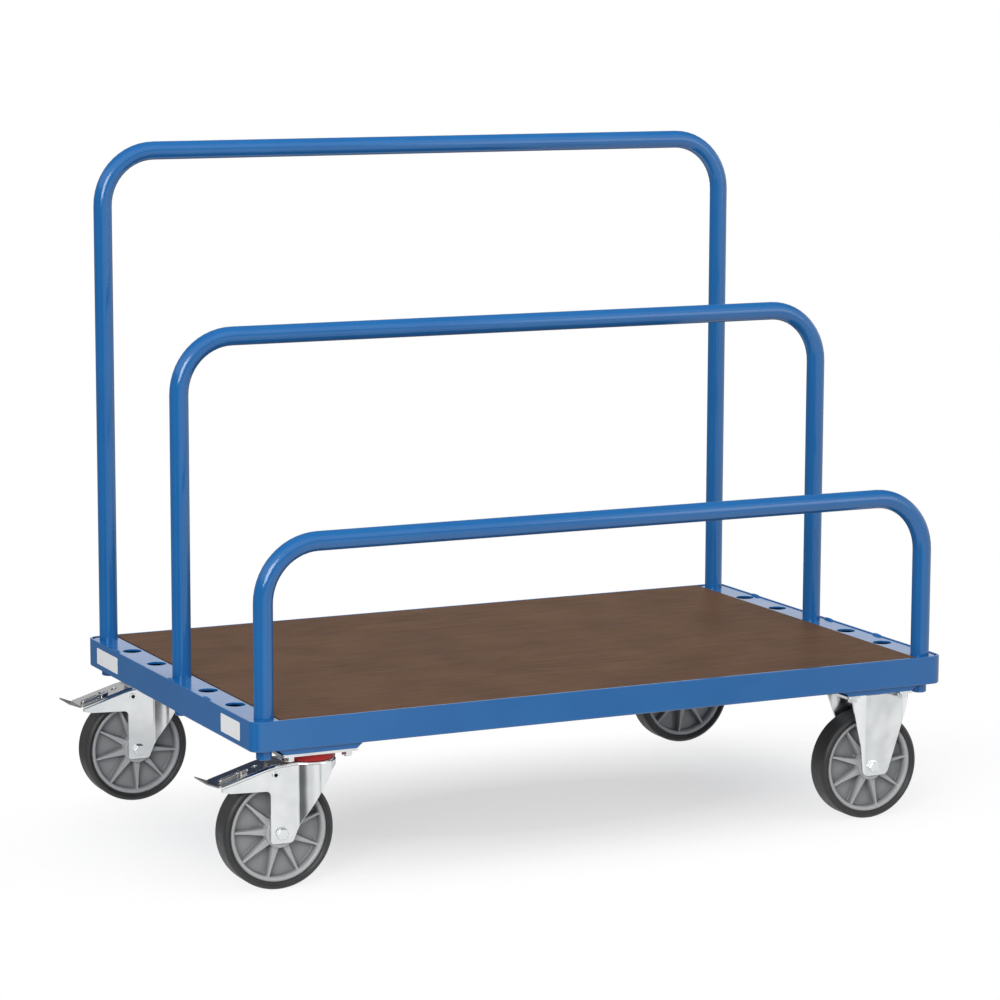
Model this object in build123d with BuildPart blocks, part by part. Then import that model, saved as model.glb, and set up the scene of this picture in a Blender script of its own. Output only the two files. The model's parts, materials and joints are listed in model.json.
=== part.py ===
from build123d import *
import os
from math import hypot, sqrt

# Panel cart: a flat platform on two braked swivel castors and two fixed ones,
# with three plug-in tube hoops that keep sheets and panels upright.
# Millimetres, +Z up, floor at z = 0, +X along the platform to its fixed end, front at -Y.
# The origin lies on the floor in the middle of the whole footprint.

os.makedirs("parts", exist_ok=True)

# Platform
platform_length = 1360
platform_width = 830
rim_height = 52
rim_wall = 4
rim_corner_r = 20
rim_edge_r = 3
rim_lip_r = 1
ledge_width = 30
ledge_wall = 4
weld_gap = 0.3

# End channels with the sockets
leg_play = 0.65
channel_wall = 3.5
strip_drop = 1.5
socket_rows = 7
socket_inset_x = 32
socket_inset_y = 30
socket_clearance = 0.4
spigot_clearance = 0.3

# Deck board and the folded channels under it
deck_thickness = 18
deck_gap = 1.5
deck_drop = 0.3
deck_bearer_count = 5
deck_bearer_width = 40
deck_bearer_wall = 3
deck_bearer_inset = 30

# Hoops: the height of each bar's top above the rim, and the row that it stands in
tube_od = 33.7
tube_wall = 3.2
bend_r = 100
hoops = {"short": (311, 0), "middle": (618, 3), "tall": (924, 6)}
spigot_slip = 0.2
spigot_wall = 2.6
spigot_reach = 18
spigot_in_leg = 60
spigot_chamfer = 1.5

# Castor bearers
bearer_depth = 10
bearer_wall = 3
bearer_length = 156
bearer_flank = 12
bearer_edge_r = 5
bearer_end_inset = 8

# Castors
castor_height = 240
castor_inset_x = 127
castor_edge = 10
trail = 63
plate_length = 140
plate_margin = 11
plate_thickness = 5
plate_corner_r = 6
plate_notch = 84
plate_notch_r = 5
bolt_pitch_x = 105
bolt_d = 10
bolt_hole_d = 11
bolt_across = 17
bolt_head_h = 6.4
nut_h = 8
nut_chamfer = 0.8
nut_clearance = 1
nut_room = 0.9
bolt_tip = 1.5

# Wheels
wheel_d = 200
wheel_width = 50
tyre_thickness = 13
tyre_bead = 3
tyre_shoulder = 8
rim_ring = 7
rim_inset = 4.5
rim_draft = 2
web_width = 7
hub_r = 26
hub_overhang = 4.5
hub_play = 1.5
rib_count = 9
rib_root = 15
rib_root_r = 24
rib_tip = 5
rib_height = 13
rib_taper = 6
wheel_turns = {"front_left": 17, "rear_left": -8, "front_right": 5, "rear_right": 24}

# Axles
axle_d = 12
axle_clearance = 0.2
axle_head_across = 19
axle_head_h = 7.5
axle_head_chamfer = 1
axle_nut_h = 10
axle_tip = 2
sleeve_od = 20
bearing_od = 30
bearing_clearance = 0.15
bearing_inset = 1.5

# Forks: outlines are measured from the axle, along X and up
fork_sheet = 3.5
crease_r = 8
fork_edge_r = 6
fork_foot = 17
head_bulge = 12.5
fork_top = 221.5
head_knee = (36, 0)
arm_knee = (-16, -3.5)
arm_tip = (-107, -30)
arm_depth = 10
arm_open = 30
cheek_back = -20
cheek_front = 20
cheek_waist = (36, 20)
cheek_shoulder = (92, 104)
head_chin = 111
arm_root = 75
arm_heel = (-92, 78)
arm_fillet = 8
foot_r = 7
waist_r = 40
shoulder_r = 20
knee_r = 120

# Fixed forks
fixed_back = -55
fixed_front = 80
fixed_corner_r = 18
fixed_edge_r = 3
fixed_cheek_back = -21
fixed_cheek_front = 29.5
fixed_waist = (-27, 40)
fixed_hip = (58, 70)
fixed_waist_r = 60
fixed_foot_r = 12
flare_from = -17
flare_r = 57

# Swivel head
seal_inset = 1
seal_wall = 6.5
seal_edge_r = 2
seal_gap = 0.4
race_r = 28
race_bore_r = 18
king_r = 8
king_clearance = 0.3
king_head_r = 15
king_head_h = 7
king_gap = 0.4

# Brake pedals: outlines are measured from the axle, along X and up
pedal_sheet = 2.6
pedal_gap = 0.5
pedal_tail = 9
window_tail = 11
toe_root = -111
toe_tip = (-133, 99)
toe_r = 4
pivot = (-10.5, 102)
rivet_d = 9
rivet_bore_d = 7
rivet_head_d = 13
rivet_head_h = 1.2
rivet_clearance = 0.1
ear_front = -55
ear_foot = 95
ear_bend = -21
ear_back = -3
ear_tail = 10
slot_length = 34
slot_width = 4.5
slot_lip = 2.2
slot_lip_h = 1.4
slot_at = -21.5
lug_length = 15
lug_width = 17
lug_height = 4
lug_taper = 10
lug_at = 5.5
dimple_r = 6
dimple_depth = 1.2
dimple_at = 26.5
block_back = -34
block_front = -50
block_height = 9.6
block_half = 18

# Sizes that follow from the ones above, from the wheel outwards
rim_width = wheel_width - 2 * rim_inset
hub_length = wheel_width + 2 * hub_overhang
cheek_inside = hub_length / 2 + hub_play
cheek_half = cheek_inside + fork_sheet
head_r = cheek_half + head_bulge
seal_r = head_r - seal_inset
pedal_half = cheek_half - fork_edge_r - pedal_gap
bolt_pitch_y = 2 * (cheek_half + bolt_across / 2 + nut_clearance)
plate_width = bolt_pitch_y + 2 * plate_margin
castor_inset_y = plate_width / 2 + castor_edge
spigot_od = tube_od - 2 * tube_wall - 2 * spigot_slip
strip_width = socket_inset_x + tube_od / 2 + leg_play + channel_wall
strip_corner_cut = rim_corner_r - rim_wall

# Places that follow from the sizes
wheel_r = wheel_d / 2
rim_bottom = castor_height + bearer_depth
deck_height = rim_bottom + rim_height
half_length = platform_length / 2
half_width = platform_width / 2
toe_overhang = trail - toe_tip[0] - castor_inset_x
platform_x = toe_overhang / 2
castor_x = half_length - castor_inset_x
castor_y = half_width - castor_inset_y
socket_x = half_length - socket_inset_x
row_pitch = (platform_width - 2 * socket_inset_y) / (socket_rows - 1)
channel_foot = rim_bottom + channel_wall
ledge_top = rim_bottom + ledge_wall
plate_bottom = castor_height - plate_thickness
roof = fork_top - wheel_r
arm_slope = (arm_knee[1] - arm_tip[1]) / (arm_knee[0] - arm_tip[0])

platform_spot = (platform_x, 0, 0)
sides = {"front": -castor_y, "rear": castor_y}
swivel_spots = {side: (platform_x - castor_x, y, 0) for side, y in sides.items()}
fixed_spots = {side: (platform_x + castor_x, y, 0) for side, y in sides.items()}


def write(name, piece, *spots, turn=0):
    """Write a finished piece as one node, with a copy at each spot."""
    with BuildPart() as node:
        with Locations(*spots):
            add(piece.part, rotation=(0, turn, 0))
    node.part.label = name
    export_step(node.part, f"parts/{name}.step")


def at_axle(spot, back=0):
    """The wheel centre of the castor that stands on a spot."""
    return (spot[0] - back, spot[1], wheel_r)


# Rim: a bent flat bar, closed round the platform, with a ledge inside each long side
with BuildPart() as rim_frame:
    with BuildSketch(Plane.XY.offset(rim_bottom)):
        RectangleRounded(platform_length, platform_width, rim_corner_r)
    extrude(amount=rim_height)
    fillet(rim_frame.edges().group_by(Axis.Z)[0], rim_edge_r)
    fillet(rim_frame.edges().group_by(Axis.Z)[-1], rim_lip_r)
    with BuildSketch(Plane.XY.offset(rim_bottom)):
        RectangleRounded(
            platform_length - 2 * rim_wall, platform_width - 2 * rim_wall, rim_corner_r - rim_wall
        )
    extrude(amount=rim_height, mode=Mode.SUBTRACT)
    with BuildSketch(Plane.XY.offset(rim_bottom)):
        with GridLocations(0, platform_width - 2 * rim_wall - ledge_width, 1, 2):
            Rectangle(platform_length - 2 * strip_width - 2 * weld_gap, ledge_width)
    extrude(amount=ledge_wall)
write("rim_frame", rim_frame, platform_spot)

# Socket channels: a C section open towards the rim, holed for the tube above and the spigot below
strip_outer = half_length - rim_wall - weld_gap
strip_inner = half_length - strip_width
strip_top = deck_height - strip_drop
with BuildPart() as socket_channel:
    with BuildSketch(Plane.XY.offset(rim_bottom)) as strip:
        with Locations(((strip_outer + strip_inner) / 2, 0)):
            Rectangle(strip_outer - strip_inner, platform_width - 2 * rim_wall - 2 * weld_gap)
        chamfer(strip.vertices().group_by(Axis.X)[-1], strip_corner_cut)
    extrude(amount=strip_top - rim_bottom)
    with BuildSketch(Plane.XZ):
        with Locations((strip_inner + channel_wall, channel_foot)):
            Rectangle(
                strip_width, strip_top - rim_bottom - 2 * channel_wall, align=(Align.MIN, Align.MIN)
            )
    extrude(amount=half_width, both=True, mode=Mode.SUBTRACT)
    with BuildSketch(Plane.XY.offset(strip_top)):
        with Locations((socket_x, 0)):
            with GridLocations(0, row_pitch, 1, socket_rows):
                Circle(tube_od / 2 + socket_clearance)
    extrude(amount=-channel_wall, mode=Mode.SUBTRACT)
    with BuildSketch(Plane.XY.offset(rim_bottom)):
        with Locations((socket_x, 0)):
            with GridLocations(0, row_pitch, 1, socket_rows):
                Circle(spigot_od / 2 + spigot_clearance)
    extrude(amount=channel_wall, mode=Mode.SUBTRACT)
with BuildPart() as mirrored_channel:
    add(socket_channel.part)
    mirror(about=Plane.YZ, mode=Mode.REPLACE)
write("right_socket_channel", socket_channel, platform_spot)
write("left_socket_channel", mirrored_channel, platform_spot)

# Deck board, flush with the rim
deck_length = 2 * (strip_inner - deck_gap)
deck_bottom = deck_height - deck_drop - deck_thickness
with BuildPart() as deck_board:
    with BuildSketch(Plane.XY.offset(deck_bottom)):
        Rectangle(deck_length, platform_width - 2 * rim_wall - 2 * deck_gap)
    extrude(amount=deck_thickness)
write("deck_board", deck_board, platform_spot)

# Deck bearers: channels open below, standing on the two ledges
bearer_pitch = (deck_length - 2 * deck_bearer_inset) / (deck_bearer_count - 1)
with BuildPart() as deck_bearers:
    with BuildSketch(Plane.XZ):
        with Locations((0, ledge_top)):
            with GridLocations(bearer_pitch, 0, deck_bearer_count, 1):
                Rectangle(deck_bearer_width, deck_bottom - ledge_top, align=(Align.CENTER, Align.MIN))
                Rectangle(
                    deck_bearer_width - 2 * deck_bearer_wall,
                    deck_bottom - ledge_top - deck_bearer_wall,
                    align=(Align.CENTER, Align.MIN),
                    mode=Mode.SUBTRACT,
                )
    extrude(amount=half_width - rim_wall - weld_gap, both=True)
write("deck_bearers", deck_bearers, platform_spot)

# Castor bearers: shallow pans with sloped flanks, open above, one across each end
with BuildPart() as castor_bearer:
    with BuildSketch(Plane.XZ) as pan:
        Polygon(
            (-bearer_length / 2, rim_bottom),
            (-bearer_length / 2 + bearer_flank, castor_height),
            (bearer_length / 2 - bearer_flank, castor_height),
            (bearer_length / 2, rim_bottom),
            align=None,
        )
        fillet(pan.vertices().group_by(Axis.Y)[0], bearer_edge_r)
    extrude(amount=half_width - bearer_end_inset, both=True)
    with BuildSketch(Plane.XZ):
        Polygon(
            (-bearer_length / 2 + bearer_wall, rim_bottom),
            (-bearer_length / 2 + bearer_flank + bearer_wall, castor_height + bearer_wall),
            (bearer_length / 2 - bearer_flank - bearer_wall, castor_height + bearer_wall),
            (bearer_length / 2 - bearer_wall, rim_bottom),
            align=None,
        )
    extrude(amount=half_width - bearer_end_inset - bearer_wall, both=True, mode=Mode.SUBTRACT)
    with BuildSketch(Plane.XY.offset(castor_height)):
        with GridLocations(0, 2 * castor_y, 1, 2):
            with GridLocations(bolt_pitch_x, bolt_pitch_y, 2, 2):
                Circle(bolt_hole_d / 2)
    extrude(amount=bearer_wall, mode=Mode.SUBTRACT)
write("left_castor_bearer", castor_bearer, (platform_x - castor_x, 0, 0))
write("right_castor_bearer", castor_bearer, (platform_x + castor_x, 0, 0))

# Hoops: one bent tube each, with a thinner tube in each foot that reaches through the channel
with BuildPart() as spigots:
    with BuildSketch(Plane.XY.offset(rim_bottom - spigot_reach)):
        with GridLocations(2 * socket_x, 0, 2, 1):
            Circle(spigot_od / 2)
            Circle(spigot_od / 2 - spigot_wall, mode=Mode.SUBTRACT)
    extrude(amount=spigot_reach + channel_wall + spigot_in_leg)
    feet = spigots.edges().group_by(Axis.Z)[0].filter_by(lambda e: e.radius == spigot_od / 2)
    chamfer(feet, spigot_chamfer)

for name, (rise, row) in hoops.items():
    bar = deck_height + rise - tube_od / 2
    spot = (platform_x, (row - (socket_rows - 1) / 2) * row_pitch, 0)
    with BuildPart() as hoop:
        with BuildLine(Plane.XZ):
            FilletPolyline(
                (-socket_x, channel_foot),
                (-socket_x, bar),
                (socket_x, bar),
                (socket_x, channel_foot),
                radius=bend_r,
            )
        with BuildSketch(Plane.XY.offset(channel_foot)):
            with Locations((-socket_x, 0)):
                Circle(tube_od / 2)
                Circle(tube_od / 2 - tube_wall, mode=Mode.SUBTRACT)
        sweep()
    write(f"{name}_hoop", hoop, spot)
    write(f"{name}_hoop_spigots", spigots, spot)

# Castor plates: a plain one for the swivels, and one notched beside the cheeks of the fixed forks
with BuildPart() as swivel_plate:
    with BuildSketch(Plane.XY.offset(plate_bottom)):
        RectangleRounded(plate_length, plate_width, plate_corner_r)
        with GridLocations(bolt_pitch_x, bolt_pitch_y, 2, 2):
            Circle(bolt_hole_d / 2, mode=Mode.SUBTRACT)
        Circle(king_r + king_clearance, mode=Mode.SUBTRACT)
    extrude(amount=plate_thickness)
with BuildPart() as fixed_plate:
    with BuildSketch(Plane.XY.offset(plate_bottom)):
        RectangleRounded(plate_length, plate_width, plate_corner_r)
        with GridLocations(bolt_pitch_x, bolt_pitch_y, 2, 2):
            Circle(bolt_hole_d / 2, mode=Mode.SUBTRACT)
        with GridLocations(0, 2 * plate_width, 1, 2):
            RectangleRounded(
                plate_notch, 2 * (plate_width - cheek_half), plate_notch_r, mode=Mode.SUBTRACT
            )
    extrude(amount=plate_thickness)

# The bolts and nuts that hold the plates to the bearers
bolt_grip = castor_height + bearer_wall
bolt_foot = plate_bottom - nut_h - bolt_tip
with BuildPart() as plate_bolts:
    with BuildSketch(Plane.XY.offset(bolt_grip)):
        with GridLocations(bolt_pitch_x, bolt_pitch_y, 2, 2):
            RegularPolygon(bolt_across / 2, 6, major_radius=False)
    extrude(amount=bolt_head_h)
    with BuildSketch(Plane.XY.offset(bolt_foot)):
        with GridLocations(bolt_pitch_x, bolt_pitch_y, 2, 2):
            Circle(bolt_d / 2)
    extrude(amount=bolt_grip - bolt_foot)
with BuildPart() as plate_nuts:
    with BuildSketch(Plane.XY.offset(plate_bottom)):
        with GridLocations(bolt_pitch_x, bolt_pitch_y, 2, 2):
            RegularPolygon(bolt_across / 2, 6, major_radius=False)
            Circle(bolt_d / 2 + weld_gap, mode=Mode.SUBTRACT)
    extrude(amount=-nut_h)
    nut_feet = plate_nuts.faces().group_by(Axis.Z)[0]
    chamfer(nut_feet.edges().filter_by(GeomType.LINE), nut_chamfer)
all_spots = [*swivel_spots.values(), *fixed_spots.values()]
write("plate_bolts", plate_bolts, *all_spots)
write("plate_nuts", plate_nuts, *all_spots)

# Wheels, made about the Y axis: a ribbed centre, a solid tyre and a plain bearing
rim_r = wheel_r - tyre_thickness
ring_r = rim_r - rim_ring
with BuildPart() as wheel_centre:
    with BuildSketch(Plane.XY):
        with BuildLine() as section:
            Polyline(
                (bearing_od / 2, 0),
                (bearing_od / 2, hub_length / 2),
                (hub_r, hub_length / 2),
                (hub_r, web_width / 2),
                (ring_r - rim_draft, web_width / 2),
                (ring_r, rim_width / 2),
                (rim_r, rim_width / 2),
                (rim_r, 0),
            )
            mirror(about=Plane.XZ)
        make_face()
    revolve(axis=Axis.Y)
    with BuildSketch(Plane.XZ.offset(web_width / 2)):
        with PolarLocations(0, rib_count):
            Polygon(
                (rib_root_r, -rib_root / 2),
                (ring_r, -rib_tip / 2),
                (ring_r, rib_tip / 2),
                (rib_root_r, rib_root / 2),
                align=None,
            )
    extrude(amount=rib_height, taper=rib_taper)
    mirror(about=Plane.XZ)

shoulder_middle = (wheel_r - tyre_shoulder, wheel_width / 2 - tyre_shoulder)
with BuildPart() as tyre:
    with BuildSketch(Plane.XY):
        with BuildLine():
            Polyline(
                (rim_r, 0),
                (rim_r, rim_width / 2),
                (rim_r + tyre_bead, wheel_width / 2),
                (wheel_r - tyre_shoulder, wheel_width / 2),
            )
            CenterArc(shoulder_middle, tyre_shoulder, 0, 90)
            Line((wheel_r, wheel_width / 2 - tyre_shoulder), (wheel_r, 0))
            mirror(about=Plane.XZ)
        make_face()
    revolve(axis=Axis.Y)

with BuildPart() as wheel_bearing:
    with BuildSketch(Plane.XZ):
        Circle(bearing_od / 2 - weld_gap / 2)
        Circle(sleeve_od / 2 + bearing_clearance, mode=Mode.SUBTRACT)
    extrude(amount=hub_length / 2 - bearing_inset, both=True)

# Axles: bolt head at the front, nut at the back, and a sleeve that the cheeks clamp
with BuildPart() as axle_bolt:
    with BuildSketch(Plane.XZ.offset(cheek_half)):
        RegularPolygon(axle_head_across / 2, 6, major_radius=False)
    extrude(amount=axle_head_h)
    chamfer(axle_bolt.faces().sort_by(Axis.Y)[0].edges(), axle_head_chamfer)
    with BuildSketch(Plane.XZ.offset(cheek_half)):
        Circle(axle_d / 2)
    extrude(amount=-(2 * cheek_half + axle_nut_h + axle_tip))
with BuildPart() as axle_nut:
    with BuildSketch(Plane.XZ.offset(-cheek_half)):
        RegularPolygon(axle_head_across / 2, 6, major_radius=False)
        Circle(axle_d / 2 + axle_clearance, mode=Mode.SUBTRACT)
    extrude(amount=-axle_nut_h)
with BuildPart() as axle_sleeve:
    with BuildSketch(Plane.XZ):
        Circle(sleeve_od / 2)
        Circle(axle_d / 2 + axle_clearance, mode=Mode.SUBTRACT)
    extrude(amount=cheek_inside - weld_gap / 2, both=True)

# Swivel fork: a pressing with two cheeks, a round swivel head and two arms for the pedal
swivel_axle = Plane(origin=(-trail, 0, wheel_r), x_dir=(1, 0, 0), z_dir=(0, -1, 0))
fork_reach = trail - arm_tip[0]


def fork_plan(inset, reach):
    """Plan of the pressing: straight cheeks that run into the round swivel head."""
    half = cheek_half - inset
    radius = head_r - inset
    crease = -sqrt(radius**2 - half**2)
    with BuildSketch() as plan:
        with Locations((-reach, 0)):
            Rectangle(reach, 2 * half, align=(Align.MIN, Align.CENTER))
        Circle(radius)
        fillet(plan.vertices().filter_by(lambda v: abs(v.X - crease) < 0.1), crease_r + inset)
    return plan.sketch


def under_roof(drop, reach):
    """Side outline of everything below the roof, which slopes down along the arms."""
    end = arm_tip[1] - arm_slope * reach
    with BuildSketch(swivel_axle) as outline:
        Polygon(
            (arm_tip[0] - reach, -wheel_r),
            (trail + 2 * head_r, -wheel_r),
            (trail + 2 * head_r, roof - drop),
            (head_knee[0], roof + head_knee[1] - drop),
            (arm_knee[0], roof + arm_knee[1] - drop),
            (arm_tip[0] - reach, roof + end - drop),
            align=None,
        )
        knees = outline.vertices().filter_by(lambda v: v.X in (head_knee[0], arm_knee[0]))
        fillet(knees, knee_r)
    return outline.sketch


def roof_edges(builder):
    """The bent edges round the roof, without the folds across it."""
    tops = builder.faces().filter_by(lambda f: f.normal_at().Z > 0.7)
    return tops.edges().filter_by(Axis.Y, reverse=True)


with BuildPart() as fork_hollow:
    extrude(fork_plan(fork_sheet, fork_reach + arm_open), amount=castor_height)
    extrude(under_roof(fork_sheet, arm_open), amount=head_r, both=True, mode=Mode.INTERSECT)

with BuildPart() as swivel_fork:
    extrude(fork_plan(0, fork_reach), amount=castor_height)
    extrude(under_roof(0, 0), amount=head_r, both=True, mode=Mode.INTERSECT)
    fillet(roof_edges(swivel_fork), fork_edge_r)
    add(fork_hollow.part, mode=Mode.SUBTRACT)
    with BuildSketch(swivel_axle) as cheek:
        Polygon(
            (cheek_back, -fork_foot),
            (cheek_front, -fork_foot),
            cheek_waist,
            cheek_shoulder,
            (trail + head_r, head_chin),
            (trail + head_r, roof + fork_sheet),
            (arm_tip[0], roof + fork_sheet),
            (arm_tip[0], roof + arm_tip[1] - arm_depth),
            arm_heel,
            (cheek_back, arm_root),
            align=None,
        )
        fillet(cheek.vertices().group_by(Axis.Y)[0], foot_r)
        fillet(cheek.vertices().filter_by(lambda v: abs(v.Y - arm_root) < 0.1), arm_fillet)
        fillet(cheek.vertices().filter_by(lambda v: abs(v.Y - cheek_waist[1]) < 0.1), waist_r)
        fillet(cheek.vertices().filter_by(lambda v: abs(v.Y - cheek_shoulder[1]) < 0.1), shoulder_r)
    extrude(amount=head_r, both=True, mode=Mode.INTERSECT)
    with BuildSketch(Plane.XY.offset(wheel_r + arm_root)):
        with Locations((window_tail - trail, 0)):
            Rectangle(fork_reach, 2 * (pedal_half + pedal_gap), align=(Align.MAX, Align.CENTER))
    extrude(amount=roof, mode=Mode.SUBTRACT)
    with BuildSketch(swivel_axle):
        Circle(axle_d / 2 + axle_clearance)
        with Locations(pivot):
            Circle(rivet_d / 2 + rivet_clearance)
    extrude(amount=head_r, both=True, mode=Mode.SUBTRACT)
    with BuildSketch(Plane.XY.offset(fork_top)):
        Circle(king_r + king_clearance)
    extrude(amount=-2 * fork_sheet, mode=Mode.SUBTRACT)

# Swivel head: dust seal and ball race between fork and plate, held together by the king pin
with BuildPart() as dust_seal:
    with BuildSketch(Plane.XY.offset(fork_top)):
        Circle(seal_r)
        Circle(seal_r - seal_wall, mode=Mode.SUBTRACT)
    extrude(amount=plate_bottom - fork_top - seal_gap)
    rims = dust_seal.edges().filter_by(GeomType.CIRCLE)
    fillet(rims.filter_by(lambda e: e.radius == seal_r), seal_edge_r)
with BuildPart() as swivel_bearing:
    with BuildSketch(Plane.XY.offset(fork_top)):
        Circle(race_r)
        Circle(race_bore_r, mode=Mode.SUBTRACT)
    extrude(amount=plate_bottom - fork_top - seal_gap)
king_head_top = fork_top - fork_sheet - king_gap
with BuildPart() as king_pin:
    with BuildSketch(Plane.XY.offset(king_head_top)):
        Circle(king_head_r)
    extrude(amount=-king_head_h)
    with BuildSketch(Plane.XY.offset(king_head_top)):
        Circle(king_r)
    extrude(amount=castor_height - king_head_top)

# Brake pedal: a pressed plate flush with the arms, with a turned-up toe and an ear at each side
tail_z = roof + arm_knee[1] - (pedal_tail - arm_knee[0]) * arm_knee[1] / (head_knee[0] - arm_knee[0])
toe_z = roof + arm_tip[1] + (toe_root - arm_tip[0]) * arm_slope
knee_z = roof + arm_knee[1]
plate_mid = (arm_tip[0] + arm_knee[0]) / 2
pedal_face = Plane(
    origin=(plate_mid - trail, 0, wheel_r + roof + (arm_tip[1] + arm_knee[1]) / 2),
    x_dir=(1, 0, arm_slope),
    z_dir=(-arm_slope, 0, 1),
)
with BuildPart() as brake_pedal:
    with BuildSketch(swivel_axle) as sheet:
        Polygon(
            (pedal_tail, tail_z),
            (arm_knee[0], knee_z),
            (toe_root, toe_z),
            toe_tip,
            (toe_tip[0], toe_tip[1] - pedal_sheet),
            (toe_root, toe_z - pedal_sheet),
            (arm_knee[0], knee_z - pedal_sheet),
            (pedal_tail, tail_z - pedal_sheet),
            align=None,
        )
        fillet(sheet.vertices().filter_by(lambda v: abs(v.X - toe_root) < 0.1), toe_r)
    extrude(amount=pedal_half, both=True)
    with BuildSketch(swivel_axle.offset(pedal_half)):
        Polygon(
            (pedal_tail, tail_z - pedal_sheet / 2),
            (arm_knee[0], knee_z - pedal_sheet / 2),
            (ear_front, knee_z - pedal_sheet / 2 + (ear_front - arm_knee[0]) * arm_slope),
            (ear_bend, ear_foot),
            (ear_back, ear_foot),
            (pedal_tail, tail_z - ear_tail),
            align=None,
        )
        with Locations(pivot):
            Circle(rivet_d / 2 + rivet_clearance, mode=Mode.SUBTRACT)
    ear = extrude(amount=-pedal_sheet)
    mirror(ear, about=Plane.XZ)
    with BuildSketch(pedal_face):
        with Locations((slot_at, 0)):
            SlotOverall(slot_length + 2 * slot_lip, slot_width + 2 * slot_lip)
    extrude(amount=slot_lip_h)
    with BuildSketch(pedal_face.offset(slot_lip_h)):
        with Locations((slot_at, 0)):
            SlotOverall(slot_length, slot_width)
    extrude(amount=-slot_lip_h - 2 * pedal_sheet, mode=Mode.SUBTRACT)
    with BuildSketch(pedal_face):
        with Locations((lug_at, 0)):
            RectangleRounded(lug_length, lug_width, lug_height / 2)
    extrude(amount=lug_height, taper=lug_taper)
    with BuildSketch(pedal_face):
        with Locations((dimple_at, 0)):
            Circle(dimple_r)
    extrude(amount=-dimple_depth, mode=Mode.SUBTRACT)

# Brake block under the pedal, and the hollow rivets that the pedal tips on
block_run = hypot(1, arm_slope)
block_shift = (block_height * arm_slope / block_run, -block_height / block_run)


def under_pedal(x):
    """Height of the pedal plate's underside above the axle."""
    return knee_z - pedal_sheet + (x - arm_knee[0]) * arm_slope


with BuildPart() as brake_block:
    with BuildSketch(swivel_axle):
        Polygon(
            (block_back, under_pedal(block_back)),
            (block_front, under_pedal(block_front)),
            (block_front + block_shift[0], under_pedal(block_front) + block_shift[1]),
            (block_back + block_shift[0], under_pedal(block_back) + block_shift[1]),
            align=None,
        )
    extrude(amount=block_half, both=True)
rivet_length = cheek_half - pedal_half + pedal_sheet
with BuildPart() as pedal_rivets:
    with BuildSketch(swivel_axle.offset(cheek_half)):
        with Locations(pivot):
            Circle(rivet_head_d / 2)
    extrude(amount=rivet_head_h)
    with BuildSketch(swivel_axle.offset(cheek_half)):
        with Locations(pivot):
            Circle(rivet_d / 2)
    extrude(amount=-rivet_length)
    with BuildSketch(swivel_axle.offset(cheek_half + rivet_head_h)):
        with Locations(pivot):
            Circle(rivet_bore_d / 2)
    extrude(amount=-rivet_length - rivet_head_h, mode=Mode.SUBTRACT)
    mirror(about=Plane.XZ)

# Fixed fork: a pressing with two cheeks, rounded at one end and flared outwards along the other
fixed_axle = Plane(origin=(0, 0, wheel_r), x_dir=(1, 0, 0), z_dir=(0, -1, 0))
flare_middle = (flare_from, -cheek_half - flare_r)


def fixed_plan(inset):
    """Plan of the pressing without its flares, with the corners rounded at the far end."""
    length = fixed_front - inset - flare_from
    with BuildSketch() as plan:
        with Locations((flare_from, 0)):
            Rectangle(length, 2 * (cheek_half - inset), align=(Align.MIN, Align.CENTER))
        fillet(plan.vertices().group_by(Axis.X)[-1], fixed_corner_r - inset)
    return plan.sketch


with BuildPart() as cheek_flare:
    with BuildSketch():
        with Locations(flare_middle):
            Circle(flare_r + fork_sheet)
            Circle(flare_r, mode=Mode.SUBTRACT)
        with Locations((flare_from, -cheek_inside)):
            Rectangle(
                flare_from - fixed_back, flare_r, align=(Align.MAX, Align.MAX), mode=Mode.INTERSECT
            )
    extrude(amount=plate_bottom)
    mirror(about=Plane.XZ)
with BuildPart() as fixed_fork:
    extrude(fixed_plan(0), amount=plate_bottom)
    fillet(fixed_fork.edges().group_by(Axis.Z)[-1].sort_by(Axis.X)[1:], fixed_edge_r)
    extrude(fixed_plan(fork_sheet), amount=plate_bottom - fork_sheet, mode=Mode.SUBTRACT)
    add(cheek_flare.part)
    with BuildSketch(Plane.XY.offset(plate_bottom)):
        with GridLocations(bolt_pitch_x, bolt_pitch_y, 2, 2):
            Circle(bolt_across / 2 + nut_room)
    extrude(amount=bolt_foot - plate_bottom - nut_clearance, mode=Mode.SUBTRACT)
    with BuildSketch(fixed_axle) as cheek:
        Polygon(
            (fixed_cheek_back, -fork_foot),
            (fixed_cheek_front, -fork_foot),
            fixed_hip,
            (fixed_front, plate_bottom - wheel_r),
            (fixed_back, plate_bottom - wheel_r),
            fixed_waist,
            align=None,
        )
        fillet(cheek.vertices().group_by(Axis.Y)[0], fixed_foot_r)
        fillet(cheek.vertices().sort_by(Axis.Y)[-4:-2], fixed_waist_r)
    extrude(amount=cheek_half + flare_r, both=True, mode=Mode.INTERSECT)
    with BuildSketch(fixed_axle):
        Circle(axle_d / 2 + axle_clearance)
    extrude(amount=cheek_half, both=True, mode=Mode.SUBTRACT)

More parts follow.
